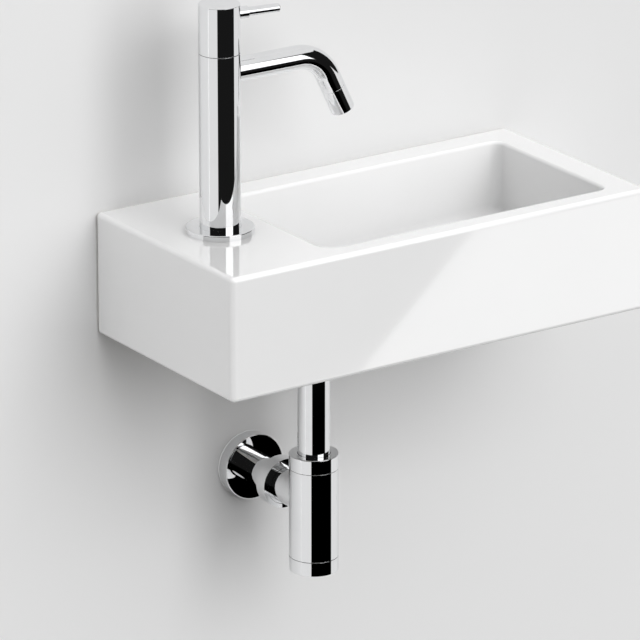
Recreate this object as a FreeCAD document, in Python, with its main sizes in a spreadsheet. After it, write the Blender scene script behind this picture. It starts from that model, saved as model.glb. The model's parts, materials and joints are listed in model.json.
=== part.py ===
"""Wall-hung cloakroom hand basin with a cold-water pillar tap, a strainer waste and a chromed bottle trap.

The frame's origin is on the wall plane, midway between the two fixing studs. X runs along the wall,
Y into the wall and Z up, so the front of the basin is at negative Y. All sizes are in millimetres.
"""
import FreeCAD, Part
import os
import re
import Sketcher
from FreeCAD import Vector

SIZES = {
    # Basin: outer block and its hollow underside
    "basin_length": 364,
    "basin_depth": 180,
    "edge_round": 3.5,
    "skirt_wall": 12,
    "deck_thick": 16,
    "hollow_round": 6,
    # Bowl: its place in the block, its floor and its rounds
    "bowl_inset": 91.5,
    "bowl_end_rim": 25,
    "bowl_back_rim": 25.5,
    "bowl_front_rim": 17.7,
    "bowl_depth": 56,
    "bowl_fall": 6,
    "bowl_wall": 10,
    "floor_thick": 10,
    "stud_below_floor": 8,
    "skirt_below_studs": 13,
    "bowl_round_left": 14,
    "bowl_round_right": 8,
    "bowl_round_foot": 7,
    "bowl_round_rim": 2.5,
    # Wall fixing: two M8 hanger studs through the back panel
    "stud_spacing": 240,
    "stud_dia": 8,
    "stud_in_wall": 50,
    "stud_screw_dia": 10,
    "stud_tip_dia": 3,
    "stud_tip": 10,
    "stud_proud": 6,
    "sleeve_dia": 14,
    "sleeve_flange_dia": 19,
    "sleeve_flange_thick": 2,
    "sleeve_setback": 0.5,
    "stud_washer_dia": 17,
    "stud_washer_thick": 1.6,
    "stud_nut_flats": 13,
    "stud_nut_thick": 6.5,
    # Tap: column, flange and the shank through the deck
    "tap_inset": 51,
    "tap_from_wall": 87,
    "tap_hole_dia": 25,
    "flange_dia": 49.6,
    "flange_thick": 4.3,
    "flange_round": 0.8,
    "gasket_dia": 44,
    "gasket_thick": 1.5,
    "column_dia": 30,
    "column_over_spout": 14.9,
    "chamber_dia": 22,
    "chamber_depth": 46,
    "waterway_dia": 10,
    "shank_dia": 20.9,
    "shank_socket": 16,
    "shank_drop": 64,
    "shank_relief_dia": 18.4,
    "shank_relief": 2,
    "shank_washer_dia": 44,
    "shank_rubber_thick": 3,
    "shank_steel_thick": 1.5,
    "lock_nut_flats": 32,
    "lock_nut_thick": 9,
    # Spout: level arm, bend and inclined nozzle
    "spout_height": 118.5,
    "spout_dia": 18,
    "spout_bore": 13,
    "spout_spigot_dia": 15,
    "spout_reach": 84,
    "spout_tilt": 25.7,
    "spout_bend_radius": 30,
    "spout_leg": 29.8,
    "nozzle_length": 19.9,
    "nozzle_spigot": 6,
    "nozzle_bore": 10,
    "nozzle_mouth_dia": 15,
    "nozzle_round": 0.6,
    "aerator_length": 9,
    "aerator_recess": 1.2,
    "aerator_hole_dia": 2.2,
    "aerator_ring_dia": 8,
    "aerator_seal_thick": 1.5,
    # Headwork: quarter-turn ceramic discs in a brass cartridge
    "barrel_dia": 17,
    "disc_dia": 13,
    "disc_thick": 3,
    "disc_port_dia": 4,
    "disc_port_ring": 6.4,
    "seat_seal_thick": 1.5,
    "seat_seal_bore": 9,
    "barrel_cavity": 20,
    "window_width": 7,
    "window_base": 9,
    "window_tall": 8,
    "cartridge_thread": 6,
    "cartridge_head_dia": 20,
    "cartridge_head": 6,
    "o_ring_thick": 2,
    "o_ring_depth": 1.4,
    "spindle_dia": 8,
    "spindle_foot_thick": 2,
    # Handle: cap over the column, lever in two diameters, fixing screw
    "cap_height": 36.1,
    "cap_cavity_dia": 24,
    "cap_cavity": 12,
    "cap_socket": 14,
    "cap_round": 0.3,
    "lever_drop": 8.8,
    "lever_neck_dia": 9,
    "lever_neck_end": 21.9,
    "lever_seat": 4.5,
    "lever_rod_dia": 6.6,
    "lever_rod_end": 46.8,
    "lever_spigot_dia": 4.5,
    "lever_spigot": 8,
    "lever_round": 0.8,
    "grub_dia": 4,
    "grub_length": 8,
    "grub_tip": 1,
    # Waste: strainer in the bowl, body under the floor, one screw between them
    "drain_inset": 129.8,
    "drain_from_wall": 89.5,
    "drain_hole_dia": 46,
    "strainer_dia": 56,
    "strainer_thick": 2,
    "strainer_dish": 5,
    "strainer_throat_dia": 43,
    "strainer_plate_dia": 37,
    "strainer_hole_dia": 6,
    "strainer_hole_ring": 26,
    "waste_seal_thick": 1,
    "waste_spot_depth": 1.5,
    "waste_flange_dia": 62,
    "waste_flange_thick": 4,
    "waste_gasket_thick": 3,
    "tail_dia": 41.9,
    "tail_bore": 36,
    "tail_length": 33,
    "bridge_width": 16,
    "bridge_drop": 8,
    "bridge_tall": 10,
    "waste_screw_dia": 8,
    "waste_screw_head_dia": 14,
    "waste_screw_head": 3,
    # Trap: inlet tube and its union under the waste
    "tube_dia": 24,
    "tube_wall": 1.5,
    "tube_collar_dia": 40,
    "tube_collar_thick": 2,
    "union_dia": 49,
    "union_height": 24,
    "union_floor": 3.5,
    "union_round": 1,
    "inlet_seal_thick": 3,
    "dip_clearance": 14,
    # Trap: bottle with its top nut and cleaning cup
    "bottle_drop": 92.1,
    "bottle_dia": 36.9,
    "bottle_wall": 2,
    "bottle_height": 68.7,
    "bottle_neck_dia": 31.8,
    "bottle_neck_bore": 28,
    "top_nut_height": 11.3,
    "top_nut_plate": 3,
    "top_seal_thick": 3,
    "top_seam_gap": 0.2,
    "cup_height": 11.3,
    "cup_neck": 6,
    "cup_floor": 3,
    "cup_round": 0.7,
    # Trap: outlet towards the wall
    "outlet_drop": 25,
    "outlet_nut_dia": 38.2,
    "outlet_nut_straight": 10.5,
    "outlet_nut_taper": 7,
    "outlet_nut_sleeve": 8.5,
    "outlet_nut_lip": 0.8,
    "outlet_nut_gap": 15.5,
    "outlet_neck_dia": 28,
    "outlet_collar_dia": 31,
    "outlet_collar": 9.5,
    "outlet_seal_thick": 3,
    "outlet_tube_lap": 6,
    "outlet_in_wall": 45,
    "outlet_groove_dia": 23,
    "outlet_groove": 3,
    "outlet_groove_in": 2,
    "rosette_dia": 50.5,
    "rosette_thick": 10.5,
    "rosette_wall": 1.5,
    "rosette_round": 0.6,
    # Clearances between pieces, the broken edges at their seams and the overrun of cuts
    "fit_gap": 0.05,
    "run_gap": 0.05,
    "seam_gap": 0.3,
    "seam_round": 0.15,
    "thread_gap": 0.3,
    "overrun": 5,
}
STRAINER_HOLES = 8
AERATOR_HOLES = 8

doc = FreeCAD.newDocument("hand_basin")
sheet = doc.addObject("Spreadsheet::Sheet", "Sizes")
for row, (alias, number) in enumerate(SIZES.items(), start=1):
    sheet.set(f"A{row}", alias)
    sheet.set(f"B{row}", str(number))
    sheet.setAlias(f"B{row}", alias)
doc.recompute()

# Places that several pieces share, as expressions of the sizes. Heights are measured from the rim plane.
DRAIN_DEPTH = "(bowl_depth + bowl_fall)"
RIM = f"({DRAIN_DEPTH} + floor_thick + stud_below_floor)"
BASIN_HEIGHT = f"({RIM} + skirt_below_studs)"
COLUMN_HEIGHT = "(spout_height + column_over_spout)"
LEFT_END = "(-basin_length / 2)"
TAP_X = "(tap_inset - basin_length / 2)"
TAP_Y = "(-tap_from_wall)"
DRAIN_X = "(drain_inset - basin_length / 2)"
DRAIN_Y = "(-drain_from_wall)"
BOWL_LEFT = "(bowl_inset - basin_length / 2)"
BOWL_RIGHT = "(basin_length / 2 - bowl_end_rim)"
FLOOR_SLOPE = f"(bowl_fall / ({BOWL_RIGHT} - {DRAIN_X}))"
LEFT_DEPTH = f"({DRAIN_DEPTH} - {FLOOR_SLOPE} * ({DRAIN_X} - {BOWL_LEFT}))"
WASTE_SEAT = f"({DRAIN_DEPTH} + floor_thick - waste_spot_depth)"
TAIL_TOP = f"({WASTE_SEAT} + waste_gasket_thick)"
TAIL_END = f"({TAIL_TOP} + waste_flange_thick + tail_length)"
TUBE_TOP = f"({TAIL_END} + inlet_seal_thick)"
UNION_END = f"({TUBE_TOP} + tube_collar_thick + union_floor)"
BOTTLE_TOP = f"({BASIN_HEIGHT} + bottle_drop)"
BOTTLE_SHOULDER = f"({BOTTLE_TOP} + top_nut_height)"
BOTTLE_FOOT = f"({BOTTLE_SHOULDER} + bottle_height)"
OUTLET_AXIS = f"({BOTTLE_SHOULDER} + outlet_drop)"
OUTLET_NUT_TIP = "(rosette_thick + outlet_nut_gap)"
OUTLET_NUT_BACK = f"({OUTLET_NUT_TIP} + outlet_nut_sleeve + outlet_nut_taper)"
OUTLET_NUT_FACE = f"({OUTLET_NUT_BACK} + outlet_nut_straight)"
NECK_REACH = f"(drain_from_wall - {OUTLET_NUT_FACE})"
SPOUT_BEND = "(90 - spout_tilt)"
NOZZLE_X = f"({TAP_X} + spout_reach + spout_leg * sin(spout_tilt * 1 deg))"
NOZZLE_Z = f"({RIM} + spout_height - spout_leg * cos(spout_tilt * 1 deg))"
SEAT_HEIGHT = f"({COLUMN_HEIGHT} - chamber_depth)"
CAP_BASE = f"({RIM} + {COLUMN_HEIGHT} + seam_gap)"

ALONG_X = (Vector(0, 1, 0), 90)
UPRIGHT = (Vector(0, 0, 1), 0)
SHUT_ANGLE = 8
ALONG_Y = (Vector(1, 0, 0), -90)


def bound(text):
    """Write every size named in an expression as a cell of the sheet."""
    return re.sub(r"[a-z][a-z_]+", lambda m: "Sizes." + m[0] if m[0] in SIZES else m[0], str(text))


def size(text):
    """Current number of an expression of sizes."""
    return float(sheet.evalExpression(bound(text)))


def set_size(thing, prop, text):
    thing.setExpression(prop, bound(text))


def new_body(label):
    body = doc.addObject("PartDesign::Body", label)
    body.Label = label
    return body


def new_sketch(body, role, offset="0"):
    """Sketch on one of the body's own planes, moved along that plane's normal by an expression."""
    sketch = body.newObject("Sketcher::SketchObject", body.Label + "_sketch")
    plane = next(f for f in body.Origin.OriginFeatures if f.Role == role)
    sketch.AttachmentSupport = [(plane, "")]
    sketch.MapMode = "FlatFace"
    set_size(sketch, "AttachmentOffset.Base.z", offset)
    return sketch


def hold(sketch, kind, item, point, text):
    """Hold one coordinate of a point of the sketch at an expression, measured from the sketch's origin."""
    index = sketch.addConstraint(Sketcher.Constraint(kind, -1, 1, item, point, size(text)))
    set_size(sketch, f"Constraints[{index}]", text)


def add_outline(sketch, points, closed=True):
    """Straight-sided outline through points whose two coordinates are expressions."""
    places = [Vector(size(x), size(y), 0) for x, y in points]
    first = sketch.GeometryCount
    sides = len(points) if closed else len(points) - 1
    for i in range(sides):
        sketch.addGeometry(Part.LineSegment(places[i], places[(i + 1) % len(points)]), False)
    for i in range(sides if closed else sides - 1):
        sketch.addConstraint(Sketcher.Constraint("Coincident", first + i, 2, first + (i + 1) % sides, 1))
    for i, (x, y) in enumerate(points):
        item, end = (first + i, 1) if i < sides else (first + i - 1, 2)
        hold(sketch, "DistanceX", item, end, x)
        hold(sketch, "DistanceY", item, end, y)


def add_circle(sketch, x, y, diameter):
    item = sketch.addGeometry(Part.Circle(Vector(size(x), size(y), 0), Vector(0, 0, 1), size(diameter) / 2))
    hold(sketch, "DistanceX", item, 3, x)
    hold(sketch, "DistanceY", item, 3, y)
    index = sketch.addConstraint(Sketcher.Constraint("Diameter", item, size(diameter)))
    set_size(sketch, f"Constraints[{index}]", diameter)


def add_feature(body, kind, sketch, length=None, reverse=False):
    """Pad or Pocket of a sketch by an expression; the volume has to change, or the cut missed the solid."""
    before = body.Shape.Volume if body.Tip else 0.0
    feature = body.newObject("PartDesign::" + kind, body.Label + "_" + kind.lower())
    feature.Profile = sketch
    feature.Reversed = reverse
    set_size(feature, "Length", length)
    doc.recompute()
    if abs(body.Shape.Volume - before) < 1e-6 * abs(before):
        raise RuntimeError(f"{feature.Name} changes nothing")
    return feature


def turn(body, points, kind="Revolution"):
    """Revolve a closed outline of (radius, height) points about the body's own Z axis."""
    sketch = new_sketch(body, "XZ_Plane")
    add_outline(sketch, points)
    feature = body.newObject("PartDesign::" + kind, body.Label + "_" + kind.lower())
    feature.Profile = sketch
    feature.ReferenceAxis = (sketch, ["V_Axis"])
    feature.Angle = 360
    doc.recompute()
    return feature


def round_edges(body, radius, chosen):
    """Fillet the edges of the body that a test picks."""
    doc.recompute()
    base = body.Tip
    names = [f"Edge{i}" for i, edge in enumerate(base.Shape.Edges, start=1) if chosen(edge)]
    fillet = body.newObject("PartDesign::Fillet", body.Label + "_fillet")
    fillet.Base = (base, names)
    set_size(fillet, "Radius", radius)
    doc.recompute()
    return fillet


def ring_edge(radius, height):
    """Test for a full circle of a turned piece at a radius and height, both expressions."""
    place, width = size(height), size(radius)

    def chosen(edge):
        circle = edge.Curve
        return (isinstance(circle, Part.Circle) and abs(circle.Radius - width) < 1e-4
                and abs(circle.Center.z - place) < 1e-4 and abs(circle.Axis.z) > 0.5)
    return chosen


def place(body, x, y, z, pose=None):
    """Put a body's own origin at three expressions, turned about one axis if a pose is given."""
    if pose:
        body.Placement.Rotation = FreeCAD.Rotation(*pose)
    for axis, text in zip("xyz", (x, y, z)):
        set_size(body, "Placement.Base." + axis, text)
    return body


def turned_off(pose):
    """Pose of a handle piece, swung from the spout's line as the shut handle stands."""
    swing = FreeCAD.Rotation(Vector(0, 0, 1), -SHUT_ANGLE)
    return (swing.multiply(FreeCAD.Rotation(*pose)),)


def box_outline(left, low, right, high):
    """Rectangle between two opposite corners."""
    return [(left, low), (right, low), (right, high), (left, high)]


def tube_outline(outer, inner, low, high):
    """Section of a plain ring between two heights, from its two diameters."""
    return box_outline(f"{inner} / 2", low, f"{outer} / 2", high)


def turned(label, points):
    body = new_body(label)
    turn(body, points)
    return body


def ring(label, outer, inner, thick):
    """Flat ring whose lower face is at its own origin."""
    return turned(label, tube_outline(outer, inner, "0", thick))


def hex_nut(label, flats, bore, thick):
    """Six-sided nut whose lower face is at its own origin."""
    body = new_body(label)
    sketch = new_sketch(body, "XY_Plane")
    corner = f"{flats} / sqrt(3)"
    angles = [f"{60 * i} deg" for i in range(6)]
    add_outline(sketch, [(f"{corner} * cos({angle})", f"{corner} * sin({angle})") for angle in angles])
    add_circle(sketch, "0", "0", bore)
    add_feature(body, "Pad", sketch, thick)
    return body


def both_studs(label, body):
    """The piece at the right stud and its mirror image at the left one, as one node of two solids."""
    body.Label = label + "_right"
    other = doc.addObject("Part::Mirroring", label + "_left")
    other.Source = body
    other.Normal = (1, 0, 0)
    pair = doc.addObject("Part::Compound", label)
    pair.Label = label
    pair.Links = [body, other]
    return pair


def make_basin():
    """Ceramic casting: a rounded block, a bowl whose floor falls to the drain, and a hollow underside."""
    body = new_body("basin")
    plan = new_sketch(body, "XY_Plane")
    right_end = "(basin_length / 2)"
    add_outline(plan, box_outline(LEFT_END, "-basin_depth", right_end, "0"))
    add_feature(body, "Pad", plan, BASIN_HEIGHT, reverse=True)
    round_edges(body, "edge_round", lambda edge: True)

    bowl = new_sketch(body, "XZ_Plane", "bowl_back_rim")
    add_outline(bowl, [
        (BOWL_LEFT, "overrun"),
        (BOWL_LEFT, f"-{LEFT_DEPTH}"),
        (DRAIN_X, f"-{DRAIN_DEPTH}"),
        (BOWL_RIGHT, "-bowl_depth"),
        (BOWL_RIGHT, "overrun"),
    ])
    add_feature(body, "Pocket", bowl, "basin_depth - bowl_back_rim - bowl_front_rim", reverse=True)
    bowl_back, bowl_front = size("-bowl_back_rim"), size("bowl_front_rim - basin_depth")
    bowl_left, bowl_right = size(BOWL_LEFT), size(BOWL_RIGHT)
    near = size("edge_round") / 100

    def on_bowl(point):
        inside_x = bowl_left - near < point.x < bowl_right + near
        return inside_x and bowl_front - near < point.y < bowl_back + near

    def upright_at(x):
        def chosen(edge):
            ends = [v.Point for v in edge.Vertexes]
            return (len(ends) == 2 and all(on_bowl(p) and abs(p.x - x) < near for p in ends)
                    and abs(ends[0].y - ends[1].y) < near)
        return chosen

    def at_foot(edge):
        """Edges of the floor, apart from the fold across it at the drain."""
        middle = edge.valueAt((edge.FirstParameter + edge.LastParameter) / 2)
        low = middle.z < -size("bowl_depth") + size("bowl_round_foot")
        fold = abs(middle.x - size(DRAIN_X)) < near and bowl_front + near < middle.y < bowl_back - near
        return on_bowl(middle) and low and not fold

    def at_rim(edge):
        return all(on_bowl(v.Point) and abs(v.Z) < near for v in edge.Vertexes)

    round_edges(body, "bowl_round_left", upright_at(bowl_left))
    round_edges(body, "bowl_round_right", upright_at(bowl_right))
    round_edges(body, "bowl_round_foot", at_foot)
    round_edges(body, "bowl_round_rim", at_rim)

    hollow = new_sketch(body, "XZ_Plane", "skirt_wall")
    wall_left = f"({BOWL_LEFT} - bowl_wall)"
    hollow_right = "(basin_length / 2 - skirt_wall)"
    below = f"(-{BASIN_HEIGHT} - overrun)"
    add_outline(hollow, [
        (f"{LEFT_END} + skirt_wall", below),
        (f"{LEFT_END} + skirt_wall", "-deck_thick"),
        (wall_left, "-deck_thick"),
        (wall_left, f"-{LEFT_DEPTH} - floor_thick"),
        (DRAIN_X, f"-{DRAIN_DEPTH} - floor_thick"),
        (hollow_right, "-bowl_depth - floor_thick"),
        (hollow_right, below),
    ])
    add_feature(body, "Pocket", hollow, "basin_depth - 2 * skirt_wall", reverse=True)
    inner_x = (size(f"{LEFT_END} + skirt_wall"), size(hollow_right))
    inner_y = (size("-skirt_wall"), size("skirt_wall - basin_depth"))

    def hollow_corner(edge):
        ends = [v.Point for v in edge.Vertexes]
        if len(ends) != 2 or abs(ends[0].z - ends[1].z) < near:
            return False
        return all(min(abs(p.x - x) for x in inner_x) < near and min(abs(p.y - y) for y in inner_y) < near
                   for p in ends)

    round_edges(body, "hollow_round", hollow_corner)

    studs = new_sketch(body, "XZ_Plane")
    add_circle(studs, "stud_spacing / 2", f"-{RIM}", "sleeve_dia + 2 * fit_gap")
    add_circle(studs, "-stud_spacing / 2", f"-{RIM}", "sleeve_dia + 2 * fit_gap")
    add_feature(body, "Pocket", studs, "skirt_wall + overrun", reverse=True)

    tap_hole = new_sketch(body, "XY_Plane")
    add_circle(tap_hole, TAP_X, TAP_Y, "tap_hole_dia")
    add_feature(body, "Pocket", tap_hole, "deck_thick + overrun")
    seat = new_sketch(body, "XY_Plane")
    add_circle(seat, DRAIN_X, DRAIN_Y, "strainer_dia + 2 * seam_gap")
    add_feature(body, "Pocket", seat, f"{DRAIN_DEPTH} + strainer_thick + waste_seal_thick")
    drain_hole = new_sketch(body, "XY_Plane")
    add_circle(drain_hole, DRAIN_X, DRAIN_Y, "drain_hole_dia")
    add_feature(body, "Pocket", drain_hole, f"{DRAIN_DEPTH} + floor_thick + overrun")
    spot = new_sketch(body, "XY_Plane", f"-{BASIN_HEIGHT}")
    add_circle(spot, DRAIN_X, DRAIN_Y, "waste_flange_dia + 2 * seam_gap")
    add_feature(body, "Pocket", spot, f"{BASIN_HEIGHT} - {WASTE_SEAT}", reverse=True)
    return place(body, "0", "0", RIM)


def make_wall_fixing():
    """Hanger studs, wood screws in the wall and bolts in front, with sleeves, washers and nuts."""
    right = "stud_spacing / 2"
    sleeve_front = "(skirt_wall + sleeve_flange_thick)"
    nut_front = f"({sleeve_front} + stud_washer_thick + stud_nut_thick)"
    stud = turned("wall_studs", [
        ("0", f"-{nut_front} - stud_proud"),
        ("stud_dia / 2", f"-{nut_front} - stud_proud"),
        ("stud_dia / 2", "0"),
        ("stud_screw_dia / 2", "0"),
        ("stud_screw_dia / 2", "stud_in_wall - stud_tip"),
        ("stud_tip_dia / 2", "stud_in_wall"),
        ("0", "stud_in_wall"),
    ])
    sleeve = turned("stud_sleeves", [
        ("stud_dia / 2 + fit_gap", f"-{sleeve_front}"),
        ("sleeve_flange_dia / 2", f"-{sleeve_front}"),
        ("sleeve_flange_dia / 2", "-skirt_wall"),
        ("sleeve_dia / 2", "-skirt_wall"),
        ("sleeve_dia / 2", "-sleeve_setback"),
        ("stud_dia / 2 + fit_gap", "-sleeve_setback"),
    ])
    washer = ring("stud_washers", "stud_washer_dia", "(stud_dia + 2 * fit_gap)", "stud_washer_thick")
    nut = hex_nut("stud_nuts", "stud_nut_flats", "stud_dia + 2 * fit_gap", "stud_nut_thick")
    place(stud, right, "0", "0", ALONG_Y)
    place(sleeve, right, "0", "0", ALONG_Y)
    place(washer, right, f"-{sleeve_front} - stud_washer_thick", "0", ALONG_Y)
    place(nut, right, f"-{nut_front}", "0", ALONG_Y)
    return [both_studs(piece.Label, piece) for piece in (stud, sleeve, washer, nut)]


def make_tap_base():
    """Flange ring on the deck with its gasket, and the threaded shank with the nut that clamps the deck."""
    around = "(column_dia + 2 * fit_gap)"
    flange = turned("tap_flange", [
        (f"{around} / 2", "gasket_thick"),
        ("gasket_dia / 2 + fit_gap", "gasket_thick"),
        ("gasket_dia / 2 + fit_gap", "0"),
        ("flange_dia / 2", "0"),
        ("flange_dia / 2", "flange_thick"),
        (f"{around} / 2", "flange_thick"),
    ])
    round_edges(flange, "flange_round", ring_edge("flange_dia / 2", "flange_thick"))
    gasket = ring("flange_gasket", "gasket_dia", around, "gasket_thick")
    clamped = "(deck_thick + shank_rubber_thick + shank_steel_thick + lock_nut_thick)"
    relief_top = f"(-{clamped} - shank_relief)"
    shank = turned("tap_shank", [
        ("waterway_dia / 2", "-shank_drop"),
        ("shank_dia / 2", "-shank_drop"),
        ("shank_dia / 2", f"{relief_top} - shank_relief"),
        ("shank_relief_dia / 2", f"{relief_top} - shank_relief"),
        ("shank_relief_dia / 2", relief_top),
        ("shank_dia / 2", relief_top),
        ("shank_dia / 2", "shank_socket"),
        ("waterway_dia / 2", "shank_socket"),
    ])
    hole = "(shank_dia + 2 * fit_gap)"
    rubber = ring("shank_rubber_washer", "shank_washer_dia", hole, "shank_rubber_thick")
    steel = ring("shank_steel_washer", "shank_washer_dia", hole, "shank_steel_thick")
    nut = hex_nut("shank_lock_nut", "lock_nut_flats", hole, "lock_nut_thick")
    for piece in (flange, gasket, shank):
        place(piece, TAP_X, TAP_Y, RIM)
    under = f"{RIM} - deck_thick"
    stack = {rubber: "shank_rubber_thick", steel: "shank_steel_thick", nut: "lock_nut_thick"}
    for piece, thick in stack.items():
        under = f"{under} - {thick}"
        place(piece, TAP_X, TAP_Y, under)
    return [flange, gasket, shank, rubber, steel, nut]


def make_column():
    """Tap column: socket for the shank, waterway, chamber for the cartridge and a side hole for the spout."""
    body = turned("tap_column", [
        ("shank_dia / 2 + fit_gap", "0"),
        ("column_dia / 2", "0"),
        ("column_dia / 2", COLUMN_HEIGHT),
        ("chamber_dia / 2", COLUMN_HEIGHT),
        ("chamber_dia / 2", SEAT_HEIGHT),
        ("waterway_dia / 2", SEAT_HEIGHT),
        ("waterway_dia / 2", "shank_socket"),
        ("shank_dia / 2 + fit_gap", "shank_socket"),
    ])
    round_edges(body, "seam_round", ring_edge("column_dia / 2", COLUMN_HEIGHT))
    hole = new_sketch(body, "YZ_Plane")
    add_circle(hole, "0", "spout_height", "spout_spigot_dia + 2 * fit_gap")
    add_feature(body, "Pocket", hole, "column_dia", reverse=True)
    return place(body, TAP_X, TAP_Y, RIM)


def make_spout_tube():
    """Bent tube on one path of level run, arc and inclined leg, with a saddle and a spigot at the column."""
    body = new_body("spout_tube")
    path = new_sketch(body, "XZ_Plane")
    tangent = f"spout_bend_radius * tan({SPOUT_BEND} / 2 * 1 deg)"
    bend_x = f"(spout_reach - {tangent})"
    turned_x = f"({bend_x} + spout_bend_radius * sin({SPOUT_BEND} * 1 deg))"
    turned_z = f"(spout_height - spout_bend_radius * (1 - cos({SPOUT_BEND} * 1 deg)))"
    end_x = "(spout_reach + spout_leg * sin(spout_tilt * 1 deg))"
    end_z = "(spout_height - spout_leg * cos(spout_tilt * 1 deg))"
    centre = Vector(size(bend_x), size("spout_height - spout_bend_radius"), 0)
    circle = Part.Circle(centre, Vector(0, 0, 1), size("spout_bend_radius"))
    quarter = FreeCAD.Units.Quantity("90 deg").getValueAs("rad").Value
    start = quarter - FreeCAD.Units.Quantity(f"{size(SPOUT_BEND)} deg").getValueAs("rad").Value
    add_outline(path, [("0", "spout_height"), (bend_x, "spout_height")], closed=False)
    arc = path.addGeometry(Part.ArcOfCircle(circle, start, quarter), False)
    add_outline(path, [(turned_x, turned_z), (end_x, end_z)], closed=False)
    leg = arc + 1
    path.addConstraint(Sketcher.Constraint("Coincident", arc, 2, 0, 2))
    path.addConstraint(Sketcher.Constraint("Coincident", arc, 1, leg, 1))
    index = path.addConstraint(Sketcher.Constraint("Radius", arc, size("spout_bend_radius")))
    set_size(path, f"Constraints[{index}]", "spout_bend_radius")

    def swept(kind, diameter):
        section = new_sketch(body, "YZ_Plane")
        add_circle(section, "0", "spout_height", diameter)
        pipe = body.newObject("PartDesign::" + kind, "spout_tube_" + kind.lower())
        pipe.Profile = section
        pipe.Spine = (path, ["Edge1", "Edge2", "Edge3"])
        doc.recompute()

    swept("AdditivePipe", "spout_dia")
    saddle = new_sketch(body, "XY_Plane")
    add_circle(saddle, "0", "0", "column_dia + 2 * fit_gap")
    add_feature(body, "Pocket", saddle, "spout_height + spout_dia", reverse=True)
    spigot = new_sketch(body, "YZ_Plane", "chamber_dia / 2")
    add_circle(spigot, "0", "spout_height", "spout_spigot_dia")
    add_feature(body, "Pad", spigot, "column_dia / 2")
    swept("SubtractivePipe", "spout_bore")
    return place(body, TAP_X, TAP_Y, RIM)


def make_nozzle():
    """Nozzle with a spigot in the spout's bore, and the aerator insert on a rubber seal inside it."""
    pose = (Vector(0, 1, 0), size("180 - spout_tilt"))
    mouth = "(nozzle_length - aerator_length - aerator_recess)"
    nozzle = turned("spout_nozzle", [
        ("nozzle_bore / 2", "-nozzle_spigot"),
        ("spout_bore / 2 - fit_gap", "-nozzle_spigot"),
        ("spout_bore / 2 - fit_gap", "0"),
        ("spout_dia / 2", "0"),
        ("spout_dia / 2", "nozzle_length"),
        ("nozzle_mouth_dia / 2", "nozzle_length"),
        ("nozzle_mouth_dia / 2", f"{mouth} - aerator_seal_thick"),
        ("nozzle_bore / 2", f"{mouth} - aerator_seal_thick"),
    ])
    round_edges(nozzle, "nozzle_round", ring_edge("spout_dia / 2", "nozzle_length"))
    round_edges(nozzle, "seam_round", ring_edge("spout_dia / 2", "0"))
    inner = "(nozzle_mouth_dia - 2 * fit_gap)"
    seal = ring("aerator_seal", inner, "nozzle_bore", "aerator_seal_thick")
    insert = turned("aerator_insert", tube_outline(inner, "0", "0", "aerator_length"))
    hole = new_sketch(insert, "XY_Plane")
    add_circle(hole, "aerator_ring_dia / 2", "0", "aerator_hole_dia")
    polar_holes(insert, hole, "aerator_length", AERATOR_HOLES)
    for piece, along in ((nozzle, "0"), (seal, f"({mouth} - aerator_seal_thick)"), (insert, mouth)):
        place(piece, f"{NOZZLE_X} + {along} * sin(spout_tilt * 1 deg)", TAP_Y,
              f"{NOZZLE_Z} - {along} * cos(spout_tilt * 1 deg)", pose)
        set_size(piece, "Placement.Rotation.Angle", "180 - spout_tilt")
    return [nozzle, seal, insert]


def polar_holes(body, sketch, depth, count):
    """Cut the sketch upwards through the body and repeat the cut evenly round its Z axis."""
    pocket = add_feature(body, "Pocket", sketch, depth, reverse=True)
    pattern = body.newObject("PartDesign::PolarPattern", body.Label + "_pattern")
    pattern.Originals = [pocket]
    pattern.Axis = (sketch, ["N_Axis"])
    pattern.Angle = 360
    pattern.Occurrences = count
    body.Tip = pattern
    doc.recompute()


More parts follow.
